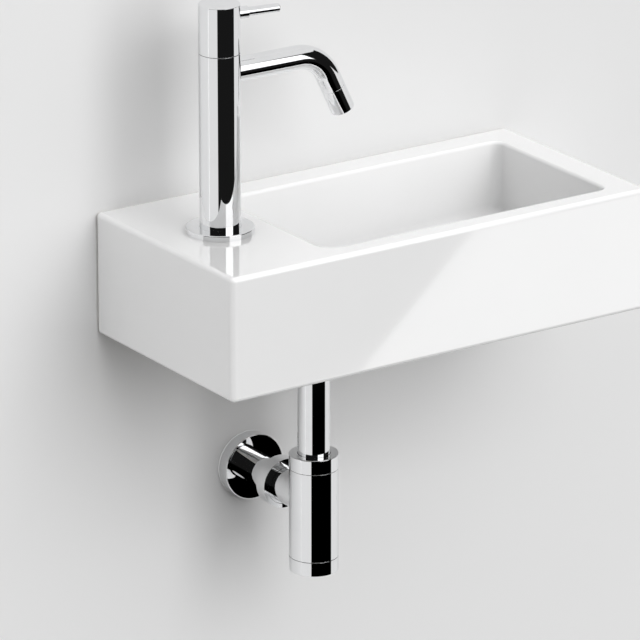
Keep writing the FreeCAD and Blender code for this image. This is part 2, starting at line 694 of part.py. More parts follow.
def make_cartridge():
    """Quarter-turn headwork: barrel with side windows, rubber seat, two ceramic discs and the spindle.

    Heights are measured from the seat in the column. The moving disc and the spindle turn with the handle.
    """
    thread_low = "(chamber_depth - cartridge_thread)"
    head_top = "(chamber_depth + cartridge_head)"
    groove_low = f"({thread_low} + (cartridge_thread - o_ring_thick) / 2)"
    thread_r = "(chamber_dia / 2 - fit_gap)"
    barrel = turned("cartridge_body", [
        ("disc_dia / 2 + run_gap", "0"),
        ("barrel_dia / 2", "0"),
        ("barrel_dia / 2", thread_low),
        (thread_r, thread_low),
        (thread_r, groove_low),
        (f"{thread_r} - o_ring_depth", groove_low),
        (f"{thread_r} - o_ring_depth", f"{groove_low} + o_ring_thick"),
        (thread_r, f"{groove_low} + o_ring_thick"),
        (thread_r, "chamber_depth"),
        ("cartridge_head_dia / 2", "chamber_depth"),
        ("cartridge_head_dia / 2", head_top),
        ("spindle_dia / 2 + run_gap", head_top),
        ("spindle_dia / 2 + run_gap", "barrel_cavity"),
        ("disc_dia / 2 + run_gap", "barrel_cavity"),
    ])
    window = new_sketch(barrel, "YZ_Plane", "-barrel_dia")
    window_top = "window_base + window_tall"
    add_outline(window, box_outline("-window_width / 2", "window_base", "window_width / 2", window_top))
    add_feature(barrel, "Pocket", window, "2 * barrel_dia", reverse=True)

    o_ring_bore = f"(2 * ({thread_r} - o_ring_depth))"
    o_ring = ring("cartridge_o_ring", f"(2 * {thread_r})", o_ring_bore, "o_ring_thick")
    seat = ring("cartridge_seat_seal", "disc_dia", "seat_seal_bore", "seat_seal_thick")
    disc_top = "(seat_seal_thick + 2 * disc_thick + run_gap)"
    spindle_top = "(chamber_depth + cap_cavity + cap_socket)"
    spindle = turned("cartridge_spindle", [
        ("0", f"{disc_top} + fit_gap"),
        ("disc_dia / 2", f"{disc_top} + fit_gap"),
        ("disc_dia / 2", f"{disc_top} + fit_gap + spindle_foot_thick"),
        ("spindle_dia / 2", f"{disc_top} + fit_gap + spindle_foot_thick"),
        ("spindle_dia / 2", spindle_top),
        ("0", spindle_top),
    ])
    discs = [new_disc("fixed_disc"), new_disc("moving_disc")]
    lifts = ("0", groove_low, "0", "0", "seat_seal_thick", "seat_seal_thick + disc_thick + run_gap")
    pieces = [barrel, o_ring, seat, spindle, *discs]
    for piece, lift in zip(pieces, lifts):
        place(piece, TAP_X, TAP_Y, f"{RIM} + {SEAT_HEIGHT} + {lift}")
    return pieces


def new_disc(label):
    """Ceramic disc with two opposite ports."""
    disc = turned(label, tube_outline("disc_dia", "0", "0", "disc_thick"))
    ports = new_sketch(disc, "XY_Plane")
    add_circle(ports, "disc_port_ring / 2", "0", "disc_port_dia")
    add_circle(ports, "-disc_port_ring / 2", "0", "disc_port_dia")
    add_feature(disc, "Pocket", ports, "disc_thick", reverse=True)
    return disc


def make_handle():
    """Cap on the spindle, lever of two diameters in its side and the grub screw behind."""
    cap = turned("handle_cap", [
        ("0", "cap_cavity + cap_socket"),
        ("spindle_dia / 2 + fit_gap", "cap_cavity + cap_socket"),
        ("spindle_dia / 2 + fit_gap", "cap_cavity"),
        ("cap_cavity_dia / 2", "cap_cavity"),
        ("cap_cavity_dia / 2", "0"),
        ("column_dia / 2", "0"),
        ("column_dia / 2", "cap_height - seam_gap"),
        ("0", "cap_height - seam_gap"),
    ])
    round_edges(cap, "cap_round", ring_edge("column_dia / 2", "cap_height - seam_gap"))
    round_edges(cap, "seam_round", ring_edge("column_dia / 2", "0"))
    lever_z = "(cap_height - seam_gap - lever_drop)"
    seat = new_sketch(cap, "YZ_Plane", "column_dia / 2 - lever_seat")
    add_circle(seat, "0", lever_z, "lever_neck_dia + 2 * fit_gap")
    add_feature(cap, "Pocket", seat, "lever_seat + overrun", reverse=True)
    grub_z = "(cap_cavity + cap_socket / 2)"
    hole = new_sketch(cap, "XZ_Plane", "-column_dia / 2")
    add_circle(hole, "0", grub_z, "grub_dia + 2 * fit_gap")
    add_feature(cap, "Pocket", hole, "column_dia / 2", reverse=True)
    place(cap, TAP_X, TAP_Y, CAP_BASE, turned_off(UPRIGHT))

    neck = turned("lever_neck", [
        ("0", "column_dia / 2 - lever_seat + fit_gap"),
        ("lever_neck_dia / 2", "column_dia / 2 - lever_seat + fit_gap"),
        ("lever_neck_dia / 2", "lever_neck_end"),
        ("lever_spigot_dia / 2 + fit_gap", "lever_neck_end"),
        ("lever_spigot_dia / 2 + fit_gap", "lever_neck_end - lever_spigot - fit_gap"),
        ("0", "lever_neck_end - lever_spigot - fit_gap"),
    ])
    round_edges(neck, "seam_round", ring_edge("lever_neck_dia / 2", "lever_neck_end"))
    rod = turned("lever_rod", [
        ("0", "lever_neck_end - lever_spigot"),
        ("lever_spigot_dia / 2", "lever_neck_end - lever_spigot"),
        ("lever_spigot_dia / 2", "lever_neck_end"),
        ("lever_rod_dia / 2", "lever_neck_end"),
        ("lever_rod_dia / 2", "lever_rod_end"),
        ("0", "lever_rod_end"),
    ])
    round_edges(rod, "lever_round", ring_edge("lever_rod_dia / 2", "lever_rod_end"))
    for piece in (neck, rod):
        place(piece, TAP_X, TAP_Y, f"{CAP_BASE} + {lever_z}", turned_off(ALONG_X))
    tip = "(spindle_dia / 2 + fit_gap)"
    grub = turned("handle_grub_screw", [
        ("0", tip),
        ("grub_dia / 2 - grub_tip", tip),
        ("grub_dia / 2", f"{tip} + grub_tip"),
        ("grub_dia / 2", f"{tip} + grub_length"),
        ("0", f"{tip} + grub_length"),
    ])
    place(grub, TAP_X, TAP_Y, f"{CAP_BASE} + {grub_z}", turned_off(ALONG_Y))
    return [cap, neck, rod, grub]


def make_waste():
    """Dished strainer in the bowl, pulled by one screw against the body and its bridge under the floor."""
    dish = "(-strainer_dish)"
    strainer = turned("waste_strainer", [
        ("waste_screw_dia / 2 + fit_gap", f"{dish} - strainer_thick"),
        ("strainer_plate_dia / 2", f"{dish} - strainer_thick"),
        ("strainer_throat_dia / 2", "-strainer_thick"),
        ("strainer_dia / 2", "-strainer_thick"),
        ("strainer_dia / 2", "0"),
        ("strainer_throat_dia / 2 - strainer_thick", "0"),
        ("strainer_plate_dia / 2 - strainer_thick", dish),
        ("waste_screw_dia / 2 + fit_gap", dish),
    ])
    hole = new_sketch(strainer, "XY_Plane", f"{dish} - strainer_thick - overrun")
    add_circle(hole, "strainer_hole_ring / 2", "0", "strainer_hole_dia")
    polar_holes(strainer, hole, "strainer_dish + strainer_thick + overrun", STRAINER_HOLES)
    top_seal = ring("waste_top_seal", "strainer_dia", "drain_hole_dia", "waste_seal_thick")
    bridge_low = f"({TAIL_TOP} + bridge_drop + bridge_tall)"
    screw = turned("waste_screw", [
        ("0", f"-{bridge_low}"),
        ("waste_screw_dia / 2", f"-{bridge_low}"),
        ("waste_screw_dia / 2", f"-{DRAIN_DEPTH} - strainer_dish"),
        ("waste_screw_head_dia / 2", f"-{DRAIN_DEPTH} - strainer_dish"),
        ("waste_screw_head_dia / 2", f"-{DRAIN_DEPTH} - strainer_dish + waste_screw_head"),
        ("0", f"-{DRAIN_DEPTH} - strainer_dish + waste_screw_head"),
    ])
    bottom_seal = ring("waste_bottom_seal", "waste_flange_dia", "drain_hole_dia", "waste_gasket_thick")
    body = turned("waste_body", [
        ("tail_bore / 2", f"-{TAIL_END}"),
        ("tail_dia / 2", f"-{TAIL_END}"),
        ("tail_dia / 2", f"-{TAIL_TOP} - waste_flange_thick"),
        ("waste_flange_dia / 2", f"-{TAIL_TOP} - waste_flange_thick"),
        ("waste_flange_dia / 2", f"-{TAIL_TOP}"),
        ("tail_bore / 2", f"-{TAIL_TOP}"),
    ])
    bridge = new_sketch(body, "XY_Plane", f"-{TAIL_TOP} - bridge_drop - bridge_tall")
    half_span = "(tail_bore + tail_dia) / 4"
    add_outline(bridge, box_outline(f"-{half_span}", "-bridge_width / 2", half_span, "bridge_width / 2"))
    add_feature(body, "Pad", bridge, "bridge_tall")
    thread = new_sketch(body, "XY_Plane", f"-{TAIL_TOP}")
    add_circle(thread, "0", "0", "waste_screw_dia + 2 * fit_gap")
    add_feature(body, "Pocket", thread, "bridge_drop + bridge_tall + overrun")
    drops = {
        strainer: DRAIN_DEPTH,
        top_seal: f"({DRAIN_DEPTH} + strainer_thick + waste_seal_thick)",
        bottom_seal: TAIL_TOP,
        screw: "0",
        body: "0",
    }
    for piece, drop in drops.items():
        place(piece, DRAIN_X, DRAIN_Y, f"{RIM} - {drop}")
    return list(drops)


def make_trap_inlet():
    """Dip tube with its collar, held against the waste's tail by the union nut and a flat seal."""
    dip_end = f"({BOTTLE_FOOT} - dip_clearance)"
    bore = "(tube_dia / 2 - tube_wall)"
    tube = turned("trap_inlet_tube", [
        (bore, f"-{dip_end}"),
        ("tube_dia / 2", f"-{dip_end}"),
        ("tube_dia / 2", f"-{TUBE_TOP} - tube_collar_thick"),
        ("tube_collar_dia / 2", f"-{TUBE_TOP} - tube_collar_thick"),
        ("tube_collar_dia / 2", f"-{TUBE_TOP}"),
        (bore, f"-{TUBE_TOP}"),
    ])
    inside = "(tail_dia / 2 + thread_gap)"
    nut = turned("inlet_union_nut", [
        ("tube_dia / 2 + thread_gap", f"-{UNION_END}"),
        ("union_dia / 2", f"-{UNION_END}"),
        ("union_dia / 2", f"-{UNION_END} + union_height"),
        (inside, f"-{UNION_END} + union_height"),
        (inside, f"-{UNION_END} + union_floor"),
        ("tube_dia / 2 + thread_gap", f"-{UNION_END} + union_floor"),
    ])
    round_edges(nut, "union_round", ring_edge("union_dia / 2", f"-{UNION_END}"))
    seal = turned("inlet_seal", tube_outline("tube_collar_dia", "(tube_dia - 2 * tube_wall)",
                                             f"-{TUBE_TOP}", f"-{TAIL_END}"))
    pieces = [tube, nut, seal]
    for piece in pieces:
        place(piece, DRAIN_X, DRAIN_Y, RIM)
    return pieces


def make_bottle():
    """Bottle with necks at both ends and a side neck towards the wall, its top nut, cup and seals."""
    neck_r = "bottle_neck_dia / 2"
    neck_top = f"({BOTTLE_TOP} + top_nut_plate + top_seal_thick)"
    neck_end = f"({BOTTLE_FOOT} + cup_neck)"
    body = turned("bottle_body", [
        ("0", f"-{neck_end}"),
        (neck_r, f"-{neck_end}"),
        (neck_r, f"-{BOTTLE_FOOT}"),
        ("bottle_dia / 2", f"-{BOTTLE_FOOT}"),
        ("bottle_dia / 2", f"-{BOTTLE_SHOULDER}"),
        (neck_r, f"-{BOTTLE_SHOULDER}"),
        (neck_r, f"-{neck_top}"),
        ("0", f"-{neck_top}"),
    ])
    for depth in (BOTTLE_SHOULDER, BOTTLE_FOOT):
        round_edges(body, "seam_round", ring_edge("bottle_dia / 2", f"-{depth}"))
    side = new_sketch(body, "XZ_Plane")
    add_circle(side, "0", f"-{OUTLET_AXIS}", "outlet_neck_dia")
    add_feature(body, "Pad", side, f"{NECK_REACH} + seam_gap", reverse=True)
    collar = new_sketch(body, "XZ_Plane", f"-{NECK_REACH} - seam_gap")
    add_circle(collar, "0", f"-{OUTLET_AXIS}", "outlet_collar_dia")
    add_feature(body, "Pad", collar, "outlet_collar", reverse=True)
    joint = new_sketch(body, "XZ_Plane", f"-{NECK_REACH} - seam_gap - outlet_collar")
    add_circle(joint, "0", f"-{OUTLET_AXIS}", "tube_dia + 2 * fit_gap")
    add_feature(body, "Pocket", joint, "outlet_tube_lap", reverse=True)
    way = new_sketch(body, "XZ_Plane", f"-{NECK_REACH} - seam_gap - outlet_collar")
    add_circle(way, "0", f"-{OUTLET_AXIS}", "tube_dia - 2 * tube_wall")
    add_feature(body, "Pocket", way, f"{NECK_REACH} + seam_gap + outlet_collar", reverse=True)
    inside = "(bottle_dia / 2 - bottle_wall)"
    turn(body, [
        ("0", f"-{neck_end} - overrun"),
        ("bottle_neck_bore / 2", f"-{neck_end} - overrun"),
        ("bottle_neck_bore / 2", f"-{BOTTLE_FOOT} + bottle_wall"),
        (inside, f"-{BOTTLE_FOOT} + bottle_wall"),
        (inside, f"-{BOTTLE_SHOULDER} - bottle_wall"),
        ("bottle_neck_bore / 2", f"-{BOTTLE_SHOULDER} - bottle_wall"),
        ("bottle_neck_bore / 2", f"-{neck_top} + overrun"),
        ("0", f"-{neck_top} + overrun"),
    ], kind="Groove")

    thread_r = f"({neck_r} + thread_gap)"
    top_nut = turned("bottle_top_nut", [
        ("tube_dia / 2 + thread_gap", f"-{BOTTLE_TOP} - top_nut_plate"),
        (thread_r, f"-{BOTTLE_TOP} - top_nut_plate"),
        (thread_r, f"-{BOTTLE_SHOULDER} + top_seam_gap"),
        ("bottle_dia / 2", f"-{BOTTLE_SHOULDER} + top_seam_gap"),
        ("bottle_dia / 2", f"-{BOTTLE_TOP}"),
        ("tube_dia / 2 + thread_gap", f"-{BOTTLE_TOP}"),
    ])
    round_edges(top_nut, "cup_round", ring_edge("bottle_dia / 2", f"-{BOTTLE_TOP}"))
    round_edges(top_nut, "seam_round", ring_edge("bottle_dia / 2", f"-{BOTTLE_SHOULDER} + top_seam_gap"))
    top_seal = turned("bottle_top_seal", tube_outline("bottle_neck_dia", "(tube_dia + 2 * fit_gap)",
                                                      f"-{neck_top}", f"-{BOTTLE_TOP} - top_nut_plate"))
    cup_end = f"({BOTTLE_FOOT} + cup_height)"
    cup = turned("bottle_cup", [
        ("0", f"-{cup_end}"),
        ("bottle_dia / 2", f"-{cup_end}"),
        ("bottle_dia / 2", f"-{BOTTLE_FOOT} - seam_gap"),
        (thread_r, f"-{BOTTLE_FOOT} - seam_gap"),
        (thread_r, f"-{cup_end} + cup_floor"),
        ("0", f"-{cup_end} + cup_floor"),
    ])
    round_edges(cup, "cup_round", ring_edge("bottle_dia / 2", f"-{cup_end}"))
    round_edges(cup, "seam_round", ring_edge("bottle_dia / 2", f"-{BOTTLE_FOOT} - seam_gap"))
    cup_seal = turned("cup_seal", tube_outline("bottle_neck_dia", "bottle_neck_bore",
                                               f"-{cup_end} + cup_floor", f"-{neck_end}"))
    pieces = [body, top_nut, top_seal, cup, cup_seal]
    for piece in pieces:
        place(piece, DRAIN_X, DRAIN_Y, RIM)
    return pieces


def make_outlet():
    """Tapered nut on the bottle's side neck, its seal, the tube into the wall and the rosette on the wall.

    Each is turned about an axis square to the wall; heights along it are distances into the wall.
    """
    collar_end = f"({OUTLET_NUT_FACE} - seam_gap - outlet_collar)"
    bore = "(tube_dia / 2 + fit_gap)"
    inside = "(outlet_collar_dia / 2 + thread_gap)"
    seal_end = f"({collar_end} - outlet_seal_thick)"
    nut = turned("outlet_nut", [
        (inside, f"-{OUTLET_NUT_FACE}"),
        ("outlet_nut_dia / 2", f"-{OUTLET_NUT_FACE}"),
        ("outlet_nut_dia / 2", f"-{OUTLET_NUT_BACK}"),
        (f"{bore} + outlet_nut_lip", f"-{OUTLET_NUT_TIP} - outlet_nut_sleeve"),
        (f"{bore} + outlet_nut_lip", f"-{OUTLET_NUT_TIP}"),
        (bore, f"-{OUTLET_NUT_TIP}"),
        (bore, f"-{seal_end}"),
        (inside, f"-{seal_end}"),
    ])
    round_edges(nut, "seam_round", ring_edge("outlet_nut_dia / 2", f"-{OUTLET_NUT_FACE}"))
    seal_bore = f"(2 * {bore})"
    seal = turned("outlet_seal", tube_outline("outlet_collar_dia", seal_bore,
                                              f"-{collar_end}", f"-{seal_end}"))
    tube_start = f"(-{collar_end} - outlet_tube_lap)"
    waterway = "(tube_dia / 2 - tube_wall)"
    groove_end = "(outlet_groove_in + outlet_groove)"
    tube = turned("outlet_tube", [
        (waterway, tube_start),
        ("tube_dia / 2", tube_start),
        ("tube_dia / 2", "outlet_groove_in"),
        ("outlet_groove_dia / 2", "outlet_groove_in"),
        ("outlet_groove_dia / 2", groove_end),
        ("tube_dia / 2", groove_end),
        ("tube_dia / 2", "outlet_in_wall"),
        (waterway, "outlet_in_wall"),
    ])
    rosette = turned("wall_rosette", [
        (bore, "-rosette_thick"),
        ("rosette_dia / 2", "-rosette_thick"),
        ("rosette_dia / 2", "0"),
        ("rosette_dia / 2 - rosette_wall", "0"),
        ("rosette_dia / 2 - rosette_wall", "-rosette_thick + rosette_wall"),
        (bore, "-rosette_thick + rosette_wall"),
    ])
    round_edges(rosette, "rosette_round", ring_edge("rosette_dia / 2", "-rosette_thick"))
    pieces = [nut, seal, tube, rosette]
    for piece in pieces:
        place(piece, DRAIN_X, "0", f"{RIM} - {OUTLET_AXIS}", ALONG_Y)
    return pieces


pieces = [make_basin(), make_column(), make_spout_tube()]
makers = (make_wall_fixing, make_tap_base, make_nozzle, make_cartridge, make_handle,
          make_waste, make_trap_inlet, make_bottle, make_outlet)
for make in makers:
    pieces += make()
doc.recompute()

for thing in doc.Objects:
    if "Invalid" in thing.State or "Error" in thing.State:
        raise RuntimeError(f"{thing.Name} failed: {thing.State}")
for piece in pieces:
    if piece.Shape.isNull() or not piece.Shape.isValid():
        raise RuntimeError(f"{piece.Label} has no valid shape")

os.makedirs("parts", exist_ok=True)
for piece in pieces:
    piece.Shape.exportStep(f"parts/{piece.Label}.step")
print(len(pieces), "pieces written")
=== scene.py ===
"""Looks of the wall-hung hand basin: finishes for the CAD pieces, threaded hardware, a wall and light.

Lengths are metres in the CAD frame: X along the wall, Y into the wall, Z up, origin between the wall studs.
Sizes of the threaded hardware are millimetres, which MM turns into metres.
"""
import json
import math

import bmesh
import bpy
import numpy as np
from mathutils import Matrix, Vector


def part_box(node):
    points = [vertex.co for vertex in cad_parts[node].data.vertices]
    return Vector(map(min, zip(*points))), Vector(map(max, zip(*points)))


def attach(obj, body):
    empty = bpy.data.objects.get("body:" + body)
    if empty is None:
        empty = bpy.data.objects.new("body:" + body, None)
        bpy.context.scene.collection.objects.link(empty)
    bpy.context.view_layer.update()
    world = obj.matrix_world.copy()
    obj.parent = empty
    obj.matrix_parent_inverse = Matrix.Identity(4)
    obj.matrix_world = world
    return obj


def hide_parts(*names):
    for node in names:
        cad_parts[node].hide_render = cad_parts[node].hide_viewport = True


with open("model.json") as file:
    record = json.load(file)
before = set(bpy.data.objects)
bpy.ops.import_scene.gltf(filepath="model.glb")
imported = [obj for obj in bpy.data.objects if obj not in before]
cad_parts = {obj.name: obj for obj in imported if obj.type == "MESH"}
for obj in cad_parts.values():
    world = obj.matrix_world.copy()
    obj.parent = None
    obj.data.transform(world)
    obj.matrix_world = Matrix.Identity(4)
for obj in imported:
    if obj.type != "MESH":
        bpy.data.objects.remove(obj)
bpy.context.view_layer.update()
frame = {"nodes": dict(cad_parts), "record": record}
MM = 0.001
FULL_TURN = 2 * math.pi
UP, INTO_WALL = (0.0, 0.0, 1.0), (0.0, 1.0, 0.0)
TAP_AXIS = np.array([-131.0, -87.0, 0.0]) * MM
DRAIN_AXIS = np.array([-52.2, -89.5, 0.0]) * MM
STUD_X = 120.0 * MM
SAME_PLACE, NO_LENGTH = 1e-7, 1e-8
BLACK, WHITE = (0, 0, 0, 1), (1, 1, 1, 1)


# Shapes: grids of points worked out with numpy

def skin(name, points, sharp_deg, close_rows=False):
    """One mesh from a grid of points, rows by columns; the columns always close into rings.

    Rows that shrink to a point become a pole, because points that coincide are merged.
    """
    rows, ring, _ = points.shape
    row = np.arange(rows if close_rows else rows - 1)
    first, column = np.meshgrid(row, np.arange(ring), indexing="ij")
    second, beside = (first + 1) % rows, (column + 1) % ring
    quads = np.stack([first * ring + column, first * ring + beside,
                      second * ring + beside, second * ring + column], axis=-1).reshape(-1, 4)
    mesh = bpy.data.meshes.new(name)
    mesh.vertices.add(rows * ring)
    mesh.vertices.foreach_set("co", points.astype(np.float32).ravel())
    mesh.loops.add(quads.size)
    mesh.loops.foreach_set("vertex_index", quads.astype(np.int32).ravel())
    mesh.polygons.add(len(quads))
    mesh.polygons.foreach_set("loop_start", np.arange(0, quads.size, 4, dtype=np.int32))
    mesh.update(calc_edges=True)
    weld(mesh)
    mesh.shade_smooth()
    mesh.set_sharp_from_angle(angle=math.radians(sharp_deg))
    return mesh


def weld(mesh):
    """Merges points that coincide, drops faces without area and turns all faces outwards."""
    work = bmesh.new()
    work.from_mesh(mesh)
    bmesh.ops.remove_doubles(work, verts=work.verts, dist=SAME_PLACE)
    bmesh.ops.dissolve_degenerate(work, edges=work.edges, dist=NO_LENGTH)
    bmesh.ops.recalc_face_normals(work, faces=work.faces)
    work.to_mesh(mesh)
    work.free()


def two_in_one(name, first, second):
    """Two meshes joined into one."""
    work = bmesh.new()
    work.from_mesh(first)
    work.from_mesh(second)
    mesh = bpy.data.meshes.new(name)
    work.to_mesh(mesh)
    work.free()
    return mesh


def fan(count):
    """Angles of one ring, evenly spread."""
    return np.arange(count) * FULL_TURN / count


def turned(stations, ring):
    """Grids of the distance along, the angle and the radius of a profile of (along, radius) stations."""
    along, radius = np.asarray(stations, float).T
    s, a = np.meshgrid(along, fan(ring), indexing="ij")
    return s, a, np.repeat(radius[:, None], ring, axis=1)


def aim(radius, angle, along, start, axis):
    """Points at a radius and angle round an axis, and at a distance along it from the start point."""
    axis = np.asarray(axis, float)
    side = np.array([1.0, 0.0, 0.0]) - axis[0] * axis
    side /= np.linalg.norm(side)
    other = np.cross(axis, side)
    out = np.cos(angle)[..., None] * side + np.sin(angle)[..., None] * other
    return np.asarray(start, float) + radius[..., None] * out + along[..., None] * axis


def stacked(first, second, start, axis):
    """Points of two grids of (along, angle, radius) in millimetres, the second's rows after the first's."""
    s, a, r = (np.concatenate(pair) for pair in zip(first, second))
    return aim(r * MM, a, s * MM, start, axis)


def spread(*stops, step):
    """Stations along a straight-sided profile, every step between the given (along, radius) stops."""
    stops = np.asarray(stops, float)
    span = np.linalg.norm(np.diff(stops, axis=0), axis=1)
    at = np.concatenate([[0.0], np.cumsum(span)])
    places = np.unique(np.round(np.concatenate([at, np.arange(0.0, at[-1], step)]), decimals=6))
    return np.stack([np.interp(places, at, stops[:, 0]), np.interp(places, at, stops[:, 1])], axis=-1)


def ridge(turns):
    """Height of a vee thread, 0 in its root to 1 on its crest: twice the distance to the nearest half turn,
    stretched so that crest and root keep a narrow flat."""
    stretch, flat = 1.3, 0.15
    phase = turns - np.floor(turns)
    return np.clip(stretch * (2 * np.abs(phase - 0.5)) - flat, 0.0, 1.0)


def groove(s, a, begin, end, pitch):
    """Share of a thread's depth that is cut away at a place along and round the axis: one minus the ridge
    there, fading to nothing over the last half pitch at both ends of the run."""
    fade = np.clip(np.minimum(s - begin, end - s) / (0.5 * pitch), 0.0, 1.0)
    return fade * (1.0 - ridge(s / pitch - a / FULL_TURN))


def hexagon(flats, angle):
    """Distance from a hexagon's middle to its edge at an angle; there is a corner at angle zero."""
    return flats / 2 / np.cos(angle % (math.pi / 3) - math.pi / 6)


def threaded(name, stations, runs, start, axis, ring, close=False):
    """A turned piece with threads: the profile's radius at each station, less the thread's depth times the
    groove's share there. Each run is (from, to, pitch, depth). A closed profile comes back through the
    bore, which stays plain."""
    s, a, r = turned(np.asarray(stations, float) * MM, ring)
    outer = (np.gradient(s[:, 0]) >= 0)[:, None] if close else True
    for begin, end, pitch, depth in np.asarray(runs, float) * MM:
        r = r - np.where(outer, depth * groove(s, a, begin, end, pitch), 0.0)
    return skin(name, aim(r, a, s, start, axis), sharp_deg=50.0, close_rows=close)


def hex_nut(name, flats, thick, bore, start, axis):
    """A chamfered hexagon nut: its outer radius is the smaller of the hexagon's edge distance at that angle
    and a 30 degree cone at either end; the bore has a countersink. The profile runs round the section."""
    ring, cone_steps, sink = 144, 7, 0.5
    cone_depth, cone_share, cone_slope = 0.16 * flats / 2, 0.955, 1.75
    cut = np.linspace(0.0, cone_depth, cone_steps)
    outer = np.concatenate([cut, thick - cut[::-1]])
    cone = cone_share * flats / 2 + np.minimum(outer, thick - outer) * cone_slope
    along = np.concatenate([[0.0], outer, [thick, thick - sink, sink]])
    limit = np.concatenate([[bore / 2 + sink], cone, [bore / 2 + sink, bore / 2, bore / 2]])
    s, a, r = turned(np.stack([along, limit], axis=-1), ring)
    r = np.minimum(r, hexagon(flats, a))
    return skin(name, aim(r * MM, a, s * MM, start, axis), sharp_deg=25.0, close_rows=True)


def slotted_screw(name, start, head_dia, head, shank_dia, length, pitch):
    """A screw seen from above: the head is a low dome, its height falling with the square of the radius,
    with a straight slot down to a level floor where the distance from the middle line is under half the
    slot's width. The shank below is threaded, and the surface ends in a pole at either end."""
    ring, dome_rows, edge_rows = 240, 44, 6
    rim, shank, tip, plain, edge, first = head_dia / 2, shank_dia / 2, 1.0, 1.0, 0.3, 0.15
    dome, slot_floor, underside = 0.35 * head, 0.3 * head, -0.65 * head
    slot_half, slot_soft, on_shank = 0.9, 0.12, 0.01
    bend = np.linspace(first, math.pi / 2, edge_rows)
    radius = np.concatenate([[0.0], np.linspace(first, rim - edge, dome_rows),
                             rim - edge + edge * np.sin(bend)])
    top = dome * (1 - (np.minimum(radius, rim - edge) / rim) ** 2)
    top[-bend.size:] -= edge * (1 - np.cos(bend))
    s, a, r = turned(np.stack([top, radius], axis=-1), ring)
    sunk = np.clip((slot_half + slot_soft - np.abs(r * np.sin(a))) / (2 * slot_soft), 0.0, 1.0)
    s = s - sunk * (s + slot_floor)
    below = spread((underside, rim), (underside, shank), (tip - length, shank),
                   (-length, shank - tip), (-length, 0.0), step=pitch / 8)
    su, au, ru = turned(below, ring)
    cut = np.clip((underside - plain - su) / pitch, 0.0, 1.0) * (np.abs(ru - shank) < on_shank)
    ru = ru - 0.5 * pitch * cut * (1 - ridge(su / pitch + au / FULL_TURN))
    return skin(name, stacked((s, a, r), (su, au, ru), start, UP), sharp_deg=40.0)


def set_screw(name, start, axis, dia, length, pitch, flats):
    """A headless screw: a cone at its inner end, a thread, and in its outer end a hexagon socket, whose
    radius at an angle is the hexagon's edge distance there."""
    ring, rim, cone, chamfer = 96, dia / 2, 1.0, 0.3
    socket_floor = length - 0.9 * flats
    outside = spread((0.0, 0.0), (0.0, rim - cone), (cone, rim), (length - chamfer, rim),
                     (length, rim - chamfer), step=pitch / 8)
    s, a, r = turned(outside, ring)
    r = r - 0.5 * pitch * groove(s, a, cone, length - chamfer, pitch)
    sunk, angle, share = turned([(length, 1.0), (socket_floor, 1.0), (socket_floor, 0.0)], ring)
    socket = share * hexagon(flats, angle + math.pi / 6)
    return skin(name, stacked((s, a, r), (sunk, angle, socket), start, axis), sharp_deg=25.0)


def jet_plate(name, start, axis, dia, length, pitch):
    """The outlet's insert: a short cylinder with a sieve of round cells in its outer face. A point of the
    face is sunk where its distance to the nearest cell's middle is under about a third of the pitch; the
    middles lie on two oblong lattices, one set half a step off the other, so that they form triangles."""
    ring, face_rows, rim, chamfer, lip, last = 192, 62, dia / 2, 0.3, 0.25, 0.12
    border, border_soft, cell_depth, cell, cell_soft = 1.1, 0.2, 1.4, 0.36 * pitch, 0.08 * pitch
    radius = np.concatenate([np.linspace(rim - lip, last, face_rows), [0.0]])
    r, a = np.meshgrid(radius, fan(ring), indexing="ij")
    x, y = r * np.cos(a) / pitch, r * np.sin(a) / (pitch * math.sqrt(3))
    offs = [(x + shift - np.round(x + shift), y + shift - np.round(y + shift)) for shift in (0.0, 0.5)]
    away = np.minimum(*(np.hypot(u, v * math.sqrt(3)) for u, v in offs)) * pitch
    inner = np.clip((rim - border - r) / border_soft, 0.0, 1.0)
    face = length - cell_depth * inner * np.clip((cell - away) / cell_soft, 0.0, 1.0)
    s, angle, side = turned([(0.0, 0.0), (0.0, rim - chamfer), (chamfer, rim), (length - lip, rim)], ring)
    return skin(name, stacked((s, angle, side), (face, a, r), start, axis), sharp_deg=30.0)


def thread_band(name, start, radius, length, pitch, rise):
    """A thread standing on a plain neck: a band whose outer radius is the neck's, plus the rise times the
    ridge at that height and angle, fading out at both ends. Its inner side lies inside the neck's wall."""
    ring, sunk, inward, rounding = 144, 0.05, 0.6, 1e-9
    along = np.arange(0.0, length + rounding, pitch / 10)
    s, a = np.meshgrid(along, fan(ring), indexing="ij")
    fade = np.clip(np.minimum(s, length - s) / pitch, 0.0, 1.0)
    r = radius - sunk + (rise + sunk) * fade * ridge(s / pitch - a / FULL_TURN)
    inside = np.full_like(r[:2], radius - inward)
    points = stacked((s, a, r), (s[[-1, 0]], a[:2], inside), start, UP)
    return skin(name, points, sharp_deg=50.0, close_rows=True)


# Shader node groups and materials

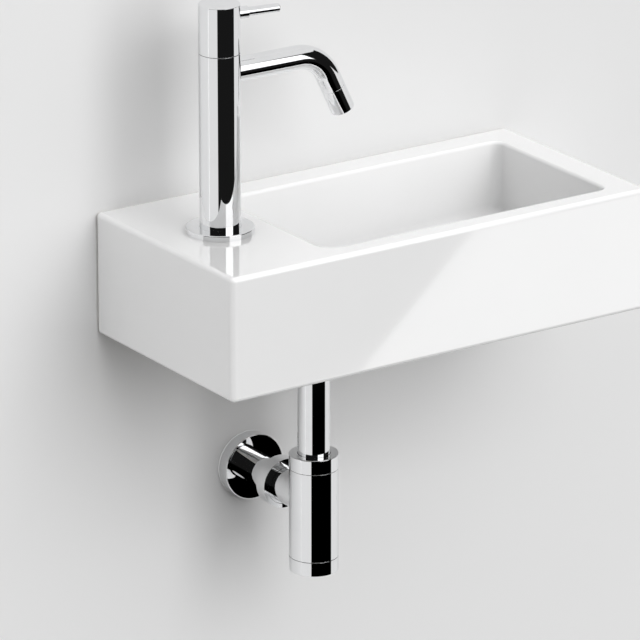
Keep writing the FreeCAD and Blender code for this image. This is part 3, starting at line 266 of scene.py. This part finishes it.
class Wires:
    """Short calls that add nodes to one tree and wire them."""

    def __init__(self, tree):
        self.tree = tree

    def put(self, socket, value):
        """Links another node's output to a socket, or sets a plain value on it."""
        if isinstance(value, bpy.types.NodeSocket):
            self.tree.links.new(value, socket)
        else:
            socket.default_value = value

    def node(self, kind, inputs=None, **settings):
        made = self.tree.nodes.new(kind)
        for key, value in settings.items():
            setattr(made, key, value)
        for key, value in (inputs or {}).items():
            self.put(made.inputs[key], value)
        return made

    def math(self, operation, first, second=0.0):
        return self.node("ShaderNodeMath", {0: first, 1: second}, operation=operation).outputs[0]

    def line(self, value, gain, base):
        """A value times a gain, plus a base."""
        return self.math("ADD", self.math("MULTIPLY", value, gain), base)

    def ramp(self, value, low, high, to_low=0.0, to_high=1.0):
        """A smooth step from one level to another between two limits of a value."""
        return self.node("ShaderNodeMapRange", {"Value": value, "From Min": low, "From Max": high,
                         "To Min": to_low, "To Max": to_high}, interpolation_type="SMOOTHSTEP").outputs[0]

    def blend(self, share, first, second):
        """Two colours mixed by the second one's share."""
        return self.node("ShaderNodeMix", {0: share, 6: first, 7: second}, data_type="RGBA").outputs[2]

    def place(self):
        return self.node("ShaderNodeTexCoord").outputs["Object"]

    def use(self, group, **values):
        """Places a shared group with plain values of its own and gives its output."""
        return self.node("ShaderNodeGroup", values, node_tree=group).outputs[0]

    def surface(self, shader_socket, output_name):
        self.tree.links.new(shader_socket, self.tree.nodes[output_name].inputs["Surface"])


def socket_group(name, inputs):
    """An empty shader group with float inputs and one float output, its wires and both ends' sockets."""
    group = bpy.data.node_groups.new(name, "ShaderNodeTree")
    for label, value in inputs.items():
        socket = group.interface.new_socket(label, in_out="INPUT", socket_type="NodeSocketFloat")
        socket.default_value = value
    group.interface.new_socket("Value", in_out="OUTPUT", socket_type="NodeSocketFloat")
    given = group.nodes.new("NodeGroupInput").outputs
    return group, Wires(group), given, group.nodes.new("NodeGroupOutput").inputs[0]


def drawn_noise(w, across, along, detail):
    """Noise whose fineness is one value along X and Y and another along Z."""
    scale = w.node("ShaderNodeCombineXYZ", {0: across, 1: across, 2: along})
    drawn = w.node("ShaderNodeVectorMath", {0: w.place(), 1: scale.outputs[0]}, operation="MULTIPLY")
    noise = w.node("ShaderNodeTexNoise", {"Vector": drawn.outputs[0], "Scale": 1.0, "Detail": detail})
    return noise.outputs[0]


def some_cells(w, scale, share, channel):
    """Distance to the nearest cell's middle, and a mask that keeps a share of the cells by their colour."""
    cells = w.node("ShaderNodeTexVoronoi", {"Vector": w.place(), "Scale": scale})
    pick = w.node("ShaderNodeSeparateColor", {0: cells.outputs["Color"]})
    return cells.outputs["Distance"], w.math("LESS_THAN", pick.outputs[channel], share)


def make_soft_clouds():
    """Broad uneven patches: fractal noise stretched between two limits."""
    group, w, given, out = socket_group("soft_clouds", {"Scale": 8.0, "Low": 0.35, "High": 0.65,
                                                        "Detail": 4.0})
    noise = w.node("ShaderNodeTexNoise", {"Vector": w.place(), "Scale": given["Scale"],
                   "Detail": given["Detail"], "Roughness": 0.55})
    w.put(out, w.ramp(noise.outputs[0], given["Low"], given["High"]))
    return group


def make_hairlines():
    """Fine rubbed lines: noise squeezed along X and Y and drawn out along Z, thinned to its peaks."""
    group, w, given, out = socket_group("hairlines", {"Fineness": 2500.0, "Length": 60.0, "Rarity": 0.66})
    full_line = 0.85
    noise = drawn_noise(w, given["Fineness"], given["Length"], 2.0)
    w.put(out, w.ramp(noise, given["Rarity"], full_line))
    return group


def make_water_spots():
    """Dried droplets: a faint ring at a set distance from a cell's middle, kept on some cells only."""
    group, w, given, out = socket_group("water_spots", {"Scale": 160.0, "Radius": 0.28, "Share": 0.2})
    ring_width = 0.07
    distance, chosen = some_cells(w, given["Scale"], given["Share"], 0)
    away = w.math("ABSOLUTE", w.math("SUBTRACT", distance, given["Radius"]))
    w.put(out, w.math("MULTIPLY", w.ramp(away, 0.0, ring_width, 1.0, 0.0), chosen))
    return group


def make_pores():
    """Pinholes: small dips at the middles of scattered cells."""
    group, w, given, out = socket_group("pores", {"Scale": 900.0, "Size": 0.16, "Share": 0.12})
    distance, chosen = some_cells(w, given["Scale"], given["Share"], 1)
    w.put(out, w.math("MULTIPLY", w.ramp(distance, 0.0, given["Size"], 1.0, 0.0), chosen))
    return group


def make_tool_marks():
    """Turning marks: noise that is fine along Z and drifts slowly along X and Y, so it reads as rings."""
    group, w, given, out = socket_group("tool_marks", {"Fineness": 3500.0, "Drift": 120.0})
    w.put(out, drawn_noise(w, given["Drift"], given["Fineness"], 3.0))
    return group


CLOUDS = make_soft_clouds()
HAIRLINES = make_hairlines()
WATER_SPOTS = make_water_spots()
PORES = make_pores()
TOOL_MARKS = make_tool_marks()


def finish_of(name, **fixed):
    """A material with one Principled shader whose plain values are set on its own sockets."""
    material = bpy.data.materials.new(name)
    material.use_nodes = True
    shader = material.node_tree.nodes["Principled BSDF"]
    w = Wires(material.node_tree)
    feed(w, shader, **fixed)
    return material, shader, w


def feed(w, shader, **values):
    """Gives values or links to a shader's sockets, whose names have underscores for spaces here."""
    for key, value in values.items():
        w.put(shader.inputs[key.replace("_", " ")], value)


def bump(w, height, strength, distance):
    """Normal of a surface raised by a height that is a share of the distance."""
    made = w.node("ShaderNodeBump", {"Height": height, "Strength": strength, "Distance": distance})
    return made.outputs[0]


def grey(level):
    return (level, level, level, 1)


def make_glaze():
    """White gloss glaze over pale bisque: the back and the foot of the skirt are left bare.

    It throws less light on other things than the camera sees on it: a tenth is withheld, much more from the
    level rim and deck, and most of it from things further off than the bowl is wide.
    """
    material, shader, w = finish_of("white_glaze", IOR=1.52, Coat_Roughness=0.03, Coat_IOR=1.5)
    axes = w.node("ShaderNodeSeparateXYZ", {0: w.place()})
    normal = w.node("ShaderNodeSeparateXYZ", {0: w.node("ShaderNodeNewGeometry").outputs["Normal"]})
    depth, height, slope = axes.outputs[1], axes.outputs[2], normal.outputs[2]
    wander = w.math("MULTIPLY", w.use(CLOUDS, Scale=60.0, Low=0.3, High=0.7), 0.6 * MM)
    back = w.ramp(w.math("ADD", depth, wander), -1.2 * MM, -0.4 * MM)
    facing_down = w.ramp(slope, -0.75, -0.95)
    foot = w.ramp(height, -11.5 * MM, -12.8 * MM)
    bare = w.math("MAXIMUM", back, w.math("MULTIPLY", facing_down, foot))
    patches = w.use(CLOUDS, Scale=7.0, Low=0.3, High=0.7)
    glaze = w.blend(patches, grey(0.875), grey(0.892))
    grog = w.use(CLOUDS, Scale=900.0, Low=0.35, High=0.7)
    bisque = w.blend(grog, (0.80, 0.775, 0.725, 1), (0.70, 0.665, 0.60, 1))
    spots = w.use(WATER_SPOTS, Scale=95.0, Radius=0.3, Share=0.05)
    gloss = w.line(patches, 0.02, w.line(spots, 0.03, 0.05))
    rough = w.line(bare, 0.55, gloss)
    peel = w.use(CLOUDS, Scale=160.0, Low=0.0, High=1.0, Detail=1.0)
    pits = w.use(PORES, Scale=420.0, Size=0.10, Share=0.03)
    bare_grog = w.math("MULTIPLY", w.math("MULTIPLY", grog, bare), 1.5)
    relief = w.line(peel, 0.12, w.math("SUBTRACT", bare_grog, pits))
    path = w.node("ShaderNodeLightPath")
    far_off = w.ramp(path.outputs["Ray Length"], 0.13, 0.27, 0.1, 0.9)
    on_rim = w.ramp(height, 78.5 * MM, 79.8 * MM, 0.1, 0.65)
    withheld = w.math("MULTIPLY", path.outputs["Is Diffuse Ray"], w.math("MAXIMUM", far_off, on_rim))
    body = w.blend(withheld, w.blend(bare, glaze, bisque), BLACK)
    feed(w, shader, Base_Color=body, Roughness=rough, Coat_Weight=w.math("SUBTRACT", 1.0, bare),
         Normal=bump(w, relief, 0.35, 0.06 * MM))
    return material


def make_chrome():
    """Polished chrome plate: a near mirror with faint smudges, rub lines and a few dried drops.

    It throws little light on other things, so that it casts no bright patches on the wall.
    """
    material, shader, w = finish_of("polished_chrome", Metallic=1.0)
    smudge = w.use(CLOUDS, Scale=45.0, Low=0.45, High=0.75)
    lines = w.use(HAIRLINES, Fineness=2600.0, Length=70.0, Rarity=0.7)
    drops = w.use(WATER_SPOTS, Scale=230.0, Radius=0.3, Share=0.06)
    plate = w.blend(smudge, (0.865, 0.87, 0.878, 1), (0.835, 0.842, 0.85, 1))
    tint = w.blend(w.node("ShaderNodeLightPath").outputs["Is Diffuse Ray"], plate, grey(0.1))
    rough = w.line(lines, 0.012, w.line(drops, 0.03, w.line(smudge, 0.02, 0.018)))
    feed(w, shader, Base_Color=tint, Roughness=rough, Normal=bump(w, lines, 0.05, 0.004 * MM))
    return material


def make_rubber():
    """Moulded black rubber: matt, slightly dusty, with a fine pebble."""
    material, shader, w = finish_of("black_rubber")
    dust = w.use(CLOUDS, Scale=70.0, Low=0.4, High=0.75)
    pebble = w.use(CLOUDS, Scale=2600.0, Low=0.3, High=0.7)
    feed(w, shader, Base_Color=w.blend(dust, (0.028, 0.028, 0.029, 1), (0.062, 0.061, 0.059, 1)),
         Roughness=w.line(dust, 0.15, 0.62), Normal=bump(w, pebble, 0.3, 0.04 * MM))
    return material


def make_brass():
    """Machined brass: turning marks and a light tarnish in patches."""
    material, shader, w = finish_of("machined_brass", Metallic=1.0)
    marks = w.use(TOOL_MARKS, Fineness=4200.0, Drift=90.0)
    tarnish = w.use(CLOUDS, Scale=110.0, Low=0.42, High=0.78)
    feed(w, shader, Base_Color=w.blend(tarnish, (0.78, 0.60, 0.30, 1), (0.56, 0.40, 0.19, 1)),
         Roughness=w.line(tarnish, 0.18, w.line(marks, 0.1, 0.2)), Normal=bump(w, marks, 0.25, 0.02 * MM))
    return material


def make_zinc():
    """Zinc plated steel: grey with a faint spangle, tool marks and duller patches."""
    material, shader, w = finish_of("zinc_plate", Metallic=1.0)
    spangle = w.use(CLOUDS, Scale=420.0, Low=0.3, High=0.7)
    marks = w.use(TOOL_MARKS, Fineness=3000.0, Drift=600.0)
    feed(w, shader, Base_Color=w.blend(spangle, (0.66, 0.67, 0.685, 1), (0.53, 0.545, 0.565, 1)),
         Roughness=w.line(spangle, 0.14, 0.26), Normal=bump(w, marks, 0.2, 0.02 * MM))
    return material


def make_disc_ceramic():
    """Lapped disc ceramic: cream, fine grained and slightly polished."""
    material, shader, w = finish_of("lapped_ceramic")
    grain = w.use(CLOUDS, Scale=1500.0, Low=0.3, High=0.7)
    feed(w, shader, Base_Color=w.blend(grain, (0.86, 0.83, 0.76, 1), (0.80, 0.765, 0.69, 1)),
         Roughness=w.line(grain, 0.1, 0.22), Normal=bump(w, grain, 0.15, 0.01 * MM))
    return material


def make_plastic():
    """Moulded white plastic: satin, with a fine spark-eroded texture."""
    material, shader, w = finish_of("white_plastic")
    flow = w.use(CLOUDS, Scale=55.0, Low=0.3, High=0.7)
    spark = w.use(CLOUDS, Scale=3200.0, Low=0.3, High=0.7)
    feed(w, shader, Base_Color=w.blend(flow, (0.84, 0.84, 0.83, 1), (0.79, 0.79, 0.775, 1)),
         Roughness=w.line(spark, 0.12, 0.38), Normal=bump(w, spark, 0.2, 0.03 * MM))
    return material


FINISHES = {
    "glazed_ceramic": make_glaze(), "chrome": make_chrome(), "rubber": make_rubber(), "brass": make_brass(),
    "zinc_steel": make_zinc(), "disc_ceramic": make_disc_ceramic(), "white_plastic": make_plastic(),
}
for row in frame["record"]["subparts"]:
    cad_materials = frame["nodes"][row["node"]].data.materials
    cad_materials.clear()
    cad_materials.append(FINISHES[row["material_slot"]])


# Threaded hardware

def add_object(name, data):
    """A new object in the scene, at the origin."""
    made = bpy.data.objects.new(name, data)
    bpy.context.scene.collection.objects.link(made)
    return made


def add_piece(mesh, body, slot_name, *nodes):
    """Puts a mesh into the scene: it rides a body, has its slot's finish and may stand for CAD nodes."""
    piece = add_object(mesh.name, mesh)
    mesh.materials.append(FINISHES[slot_name])
    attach(piece, body)
    if nodes:
        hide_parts(*nodes)


def make_wall_studs():
    """Hanger studs: a machine thread in front of the wall, and in it a coarse screw with a pointed tip."""
    bolt, screw, tip, chamfer, step_up = 4.0, 5.0, 1.5, 0.8, 0.5
    wall_at, plain_end, taper, end = 28.1, 30.0, 68.1, 78.1
    runs = [(0.3, 24.0, 1.25, 0.68), (31.0, 77.6, 3.6, 1.35)]
    stations = np.concatenate([
        spread((0.0, 0.0), (0.0, bolt - chamfer), (chamfer, bolt), (wall_at - step_up, bolt),
               (wall_at, screw), step=0.16),
        spread((plain_end, screw), (taper, screw), (end, tip), (end, 0.0), step=0.35)])
    studs = [threaded("wall_stud", stations, runs, (side * STUD_X, -wall_at * MM, 0.0), INTO_WALL, ring=64)
             for side in (-1, 1)]
    return two_in_one("wall_stud_pair", *studs)


def make_stud_nuts():
    """The nuts that hold the basin on its studs."""
    nuts =[hex_nut("stud_nut", flats=13.0, thick=6.5, bore=8.2, start=(side * STUD_X, -22.1 * MM, 0.0),
                    axis=INTO_WALL) for side in (-1, 1)]
    return two_in_one("stud_nut_pair", *nuts)


def make_tap_tail():
    """The tap's tail: a tube with a pipe thread below the deck, a relief groove in it and a plain bore."""
    bore, outside, relief, bevel, step = 5.0, 10.45, 9.2, 0.5, 0.22
    foot, relief_low, relief_high, seat, top = 16.0, 46.0, 48.0, 79.0, 96.0
    foot_bevel, foot_edge, bore_rows = 0.9, 9.6, (60.0, 30.0)
    pitch, depth = 1.814, 1.0
    section = np.concatenate([
        spread((foot, bore), (foot, foot_edge), (foot + foot_bevel, outside), (relief_low - bevel, outside),
               step=step),
        spread((relief_low, relief), (relief_high, relief), (relief_high + bevel, outside), (seat, outside),
               (top, outside), (top, bore), step=step),
        [(height, bore) for height in bore_rows]])
    runs = [(16.2, 45.8, pitch, depth), (48.6, 78.0, pitch, depth)]
    return threaded("tap_tail", section, runs, TAP_AXIS, UP, ring=96, close=True)


def middle_of(node):
    """Middle of a CAD node's box."""
    low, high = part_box(node)
    return (np.asarray(low) + np.asarray(high)) / 2


def lifted(axis, height):
    """Point of an upright axis at a height."""
    return axis + (0.0, 0.0, height)


HANDLE_OFF_LINE, NOZZLE_TILT = math.radians(8.0), math.radians(25.7)
GRUB_WAY = np.array([math.sin(HANDLE_OFF_LINE), math.cos(HANDLE_OFF_LINE), 0.0])
JET_WAY = np.array([math.sin(NOZZLE_TILT), 0.0, -math.cos(NOZZLE_TILT)])
GRUB_LENGTH, JET_LENGTH = 8.0, 9.0
tail_low, tail_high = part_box("inlet_union_nut")[1][2] - 1.0 * MM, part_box("waste_body")[1][2] - 4.3 * MM

add_piece(make_wall_studs(), "root", "zinc_steel", "wall_studs")
add_piece(make_stud_nuts(), "root", "zinc_steel", "stud_nuts")
add_piece(make_tap_tail(), "root", "brass", "tap_shank")
add_piece(hex_nut("tap_lock_nut", flats=32.0, thick=9.0, bore=21.2,
                  start=lifted(TAP_AXIS, 50.5 * MM), axis=UP),
          "root", "brass", "shank_lock_nut")
add_piece(slotted_screw("strainer_screw", lifted(DRAIN_AXIS, 14.95 * MM), head_dia=14.0, head=3.0,
                        shank_dia=8.0, length=26.45, pitch=1.25),
          "root", "chrome", "waste_screw")
add_piece(set_screw("cap_set_screw", middle_of("handle_grub_screw") - GRUB_LENGTH / 2 * MM * GRUB_WAY,
                    GRUB_WAY, dia=4.0, length=GRUB_LENGTH, pitch=0.7, flats=2.0),
          "handle", "zinc_steel", "handle_grub_screw")
add_piece(jet_plate("jet_insert", middle_of("aerator_insert") - JET_LENGTH / 2 * MM * JET_WAY, JET_WAY,
                    dia=14.9, length=JET_LENGTH, pitch=1.9),
          "root", "white_plastic", "aerator_insert")
add_piece(thread_band("bottle_foot_thread", lifted(DRAIN_AXIS, -190.9 * MM), radius=15.9, length=5.6,
                      pitch=1.8, rise=0.2),
          "root", "chrome")
add_piece(thread_band("waste_tail_thread", lifted(DRAIN_AXIS, tail_low), radius=20.95,
                      length=(tail_high - tail_low) / MM, pitch=2.309, rise=0.2),
          "root", "brass")


# Wall, floor and reflection card

WALL_Y, FLOOR_Z, REACH = 0.0005, -0.77, 3.2
FLOOR_FRONT = -REACH * 1.6
CARD_AXIS, CARD_TOP, SURROUNDINGS = (-0.05, -0.09), 1.24, 0.81


def flat_sheet(name, corners):
    """A four-cornered sheet, its corners in order."""
    mesh = bpy.data.meshes.new(name)
    mesh.from_pydata(corners, [], [(0, 1, 2, 3)])
    sheet = add_object(name, mesh)
    return sheet


def one_sided(name, light, dark, grain, rough, near=0.0, bounced=1.0):
    """Paint seen from its front only: rays that come from behind, or from closer than near, pass through.

    Light that it throws back on other things is the bounced share of what the camera sees.
    """
    material, shader, w = finish_of(name, Specular_IOR_Level=0.15)
    mottle = w.use(CLOUDS, Scale=3.0, Low=0.3, High=0.7)
    texture = w.use(CLOUDS, Scale=grain, Low=0.2, High=0.8)
    path = w.node("ShaderNodeLightPath")
    paint = w.blend(mottle, light, dark)
    dull = w.blend(1.0 - bounced, paint, BLACK)
    feed(w, shader, Base_Color=w.blend(path.outputs["Is Camera Ray"], dull, paint),
         Roughness=w.line(mottle, 0.05, rough), Normal=bump(w, texture, 0.1, 0.1 * MM))
    through = w.math("MAXIMUM", w.node("ShaderNodeNewGeometry").outputs["Backfacing"],
                     w.math("LESS_THAN", path.outputs["Ray Length"], near))
    clear = w.node("ShaderNodeBsdfTransparent")
    mixed = w.node("ShaderNodeMixShader", {0: through, 1: shader.outputs[0], 2: clear.outputs[0]})
    w.surface(mixed.outputs[0], "Material Output")
    return material


def make_reflection_card():
    """A curved card that only mirrors see: part of a cylinder round the object, then a ring on the floor.

    It lights nothing: its glow is painted reflection for the chrome and glaze. Low down it is dark in front
    and pale at the sides; above the horizon it is dark all round, with a painted softbox reflection in it,
    a white window.
    """
    radius, inner_radius, reach = 1.45, 0.62, math.radians(93.0)
    across, low, high, foot = 97, 8, 40, FLOOR_Z + 0.004
    rows = np.concatenate([np.linspace(inner_radius, radius, low), np.full(high, radius)])
    heights = np.concatenate([np.full(low, foot), np.linspace(foot, CARD_TOP, high)])
    angle = np.linspace(-reach, reach, across)
    points = np.stack([CARD_AXIS[0] + np.outer(rows, np.sin(angle)),
                       CARD_AXIS[1] - np.outer(rows, np.cos(angle)),
                       np.repeat(heights[:, None], across, axis=1)], axis=-1)
    index = np.arange(rows.size * across).reshape(rows.size, across)
    quads = np.stack([index[:-1, :-1], index[:-1, 1:], index[1:, 1:], index[1:, :-1]], axis=-1)
    mesh = bpy.data.meshes.new("reflection_card")
    mesh.from_pydata(points.reshape(-1, 3).tolist(), [], quads.reshape(-1, 4).tolist())
    card = add_object("reflection_card", mesh)
    mesh.materials.append(make_card_face())
    card.visible_camera = False
    card.visible_diffuse = False
    card.visible_shadow = False
    card.visible_transmission = False


def make_card_face():
    """Painted reflection: glow of the card by its azimuth and height: black, white in the window that
    stands for a softbox, as pale as the surroundings at the low sides, and a faint veil everywhere but at
    the foot."""
    window_left, window_right = math.radians(-6.0), math.radians(37.0)
    window_low, window_high, window_glow = 0.046, CARD_TOP - 0.03, 1.5
    front_left, front_right = math.radians(-46.0), math.radians(52.0)
    horizon_low, horizon_high = 0.08, 0.12
    veil_low, veil_high, veil_glow = -0.62, -0.45, 0.0095
    soft_angle, soft_height = math.radians(0.4), 0.01
    material = bpy.data.materials.new("card_face")
    material.use_nodes = True
    w = Wires(material.node_tree)
    w.tree.nodes.remove(w.tree.nodes["Principled BSDF"])
    axes = w.node("ShaderNodeSeparateXYZ", {0: w.place()})
    azimuth = w.math("ARCTAN2", w.math("SUBTRACT", axes.outputs[0], CARD_AXIS[0]),
                     w.math("SUBTRACT", CARD_AXIS[1], axes.outputs[1]))
    height = axes.outputs[2]

    def between(value, low, high, soft):
        return w.math("MULTIPLY", w.ramp(value, low - soft, low + soft),
                      w.ramp(value, high - soft, high + soft, 1.0, 0.0))

    # painted softbox reflection: this white window lights nothing and shows only in mirrors
    painted_softbox_window = w.math("MULTIPLY", between(azimuth, window_left, window_right, soft_angle),
                    between(height, window_low, window_high, soft_height))
    front = between(azimuth, front_left, front_right, soft_angle)
    dark = w.math("MAXIMUM", front, w.ramp(height, horizon_low, horizon_high))
    veil = w.ramp(height, veil_low, veil_high, 0.0, veil_glow)
    pale = w.math("MULTIPLY", w.math("SUBTRACT", 1.0, dark), SURROUNDINGS)
    glow = w.line(painted_softbox_window, window_glow, w.math("ADD", pale, veil))
    face = w.node("ShaderNodeEmission", {"Color": WHITE, "Strength": glow})
    w.surface(face.outputs[0], "Material Output")
    return material


wall = flat_sheet("wall", [(-REACH, WALL_Y, FLOOR_Z), (REACH, WALL_Y, FLOOR_Z),
                           (REACH, WALL_Y, REACH), (-REACH, WALL_Y, REACH)])
wall.data.materials.append(one_sided("wall_paint", grey(0.835), grey(0.825), grain=900.0, rough=0.7,
                                     near=1.2 * MM))
floor = flat_sheet("floor", [(-REACH, FLOOR_FRONT, FLOOR_Z), (REACH, FLOOR_FRONT, FLOOR_Z),
                             (REACH, WALL_Y, FLOOR_Z), (-REACH, WALL_Y, FLOOR_Z)])
floor.data.materials.append(one_sided("pale_floor", (0.72, 0.72, 0.715, 1), (0.70, 0.70, 0.695, 1),
                                      grain=500.0, rough=0.6, bounced=0.1))
floor.visible_glossy = False
make_reflection_card()


# Lamps and surroundings

CENTRE = np.array([-0.03, -0.09, 0.03])
EYE = (-2.2994, -3.4265, 1.4244)


def toward(azimuth, elevation):
    """Unit vector out of the wall: azimuth from its normal towards +X, elevation above the horizon."""
    a, e = math.radians(azimuth), math.radians(elevation)
    return np.array([math.sin(a) * math.cos(e), -math.cos(a) * math.cos(e), math.sin(e)])


def area_lamp(name, width, height, power):
    """A rectangular lamp that the camera doesn't see."""
    lamp = bpy.data.lights.new(name, "AREA")
    lamp.shape = "RECTANGLE"
    lamp.size, lamp.size_y, lamp.energy = width, height, power
    holder = add_object(name, lamp)
    holder.visible_camera = False
    return holder


def stand_off(lamp, distance, azimuth, elevation):
    """Sets a lamp up at a distance from the object, facing it; mirrors don't see it."""
    place = CENTRE + distance * toward(azimuth, elevation)
    lamp.location = place
    lamp.rotation_euler = Vector(CENTRE - place).to_track_quat("-Z", "Y").to_euler()
    lamp.visible_glossy = False


def make_front_glow(eye):
    """A sheen on the right of the front face: a softbox that only the glaze mirrors.

    Its left edge lies where the eye's view, mirrored in the front face, meets it along the sheen's slanting
    edge, which runs from the rim to the foot of the face.
    """
    width, height, power, farther = 0.6, 0.9, 2.7, 1.28
    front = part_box("basin")[0][1]
    mirrored = np.array([eye[0], 2 * front - eye[1], eye[2]])
    rim, foot = np.array([0.0251, front, 0.0772]), np.array([-0.0743, front, -0.0114])
    upper, lower = (mirrored + farther * (point - mirrored) for point in (rim, foot))
    middle = (upper + lower) / 2
    outward = middle - mirrored
    outward /= np.linalg.norm(outward)
    along = upper - lower
    along -= along.dot(outward) * outward
    along /= np.linalg.norm(along)
    across = np.cross(along, outward)
    glow = area_lamp("front_glow", width, height, power)
    turn = Matrix(np.stack([across, along, outward], axis=-1).tolist())
    glow.matrix_world = Matrix.LocRotScale((middle + across * width / 2).tolist(), turn, None)
    glazed = bpy.data.collections.new("glazed")
    glazed.objects.link(frame["nodes"]["basin"])
    glow.light_linking.receiver_collection = glazed
    glow.visible_diffuse = False


def make_world():
    """Surroundings that light the object from overhead; camera and mirrors see them as one pale level."""
    brightest, overhead_gain, all_round = (0.36, 0.0, 0.93), 1.55, 0.02
    world = bpy.data.worlds.new("studio")
    bpy.context.scene.world = world
    world.use_nodes = True
    w = Wires(world.node_tree)
    sky = w.node("ShaderNodeTexCoord").outputs["Generated"]
    facing = w.node("ShaderNodeVectorMath", {0: sky, 1: brightest}, operation="DOT_PRODUCT")
    strength = w.line(w.math("MAXIMUM", facing.outputs["Value"], 0.0), overhead_gain, all_round)
    lit = w.node("ShaderNodeBackground", {"Color": WHITE, "Strength": strength})
    seen = w.tree.nodes["Background"]
    feed(w, seen, Color=WHITE, Strength=SURROUNDINGS)
    path = w.node("ShaderNodeLightPath")
    plain = w.math("MAXIMUM", path.outputs["Is Camera Ray"],
                   w.math("MAXIMUM", path.outputs["Is Glossy Ray"], path.outputs["Is Transmission Ray"]))
    mixed = w.node("ShaderNodeMixShader", {0: plain, 1: lit.outputs[0], 2: seen.outputs[0]})
    w.surface(mixed.outputs[0], "World Output")


stand_off(area_lamp("softbox", width=5.8, height=7.2, power=434.0),
          distance=8.0, azimuth=6.0, elevation=20.0)
stand_off(area_lamp("side_fill", width=0.8, height=0.8, power=5.0),
          distance=1.8, azimuth=-78.0, elevation=-8.0)
make_front_glow(EYE)
make_world()


# Camera at the photograph's viewing angle

LENS_MM, SENSOR_MM = 330.48, 36.0
LOOK_DOWN, LOOK_RIGHT = 0.340779, 0.593776
lens = bpy.data.cameras.new("camera")
lens.lens, lens.sensor_width = LENS_MM, SENSOR_MM
camera = add_object("camera", lens)
camera.location = EYE
camera.rotation_euler = (math.pi / 2 - LOOK_DOWN, 0.0, -LOOK_RIGHT)
bpy.context.scene.camera = camera
bpy.context.scene.view_settings.view_transform = "Standard"
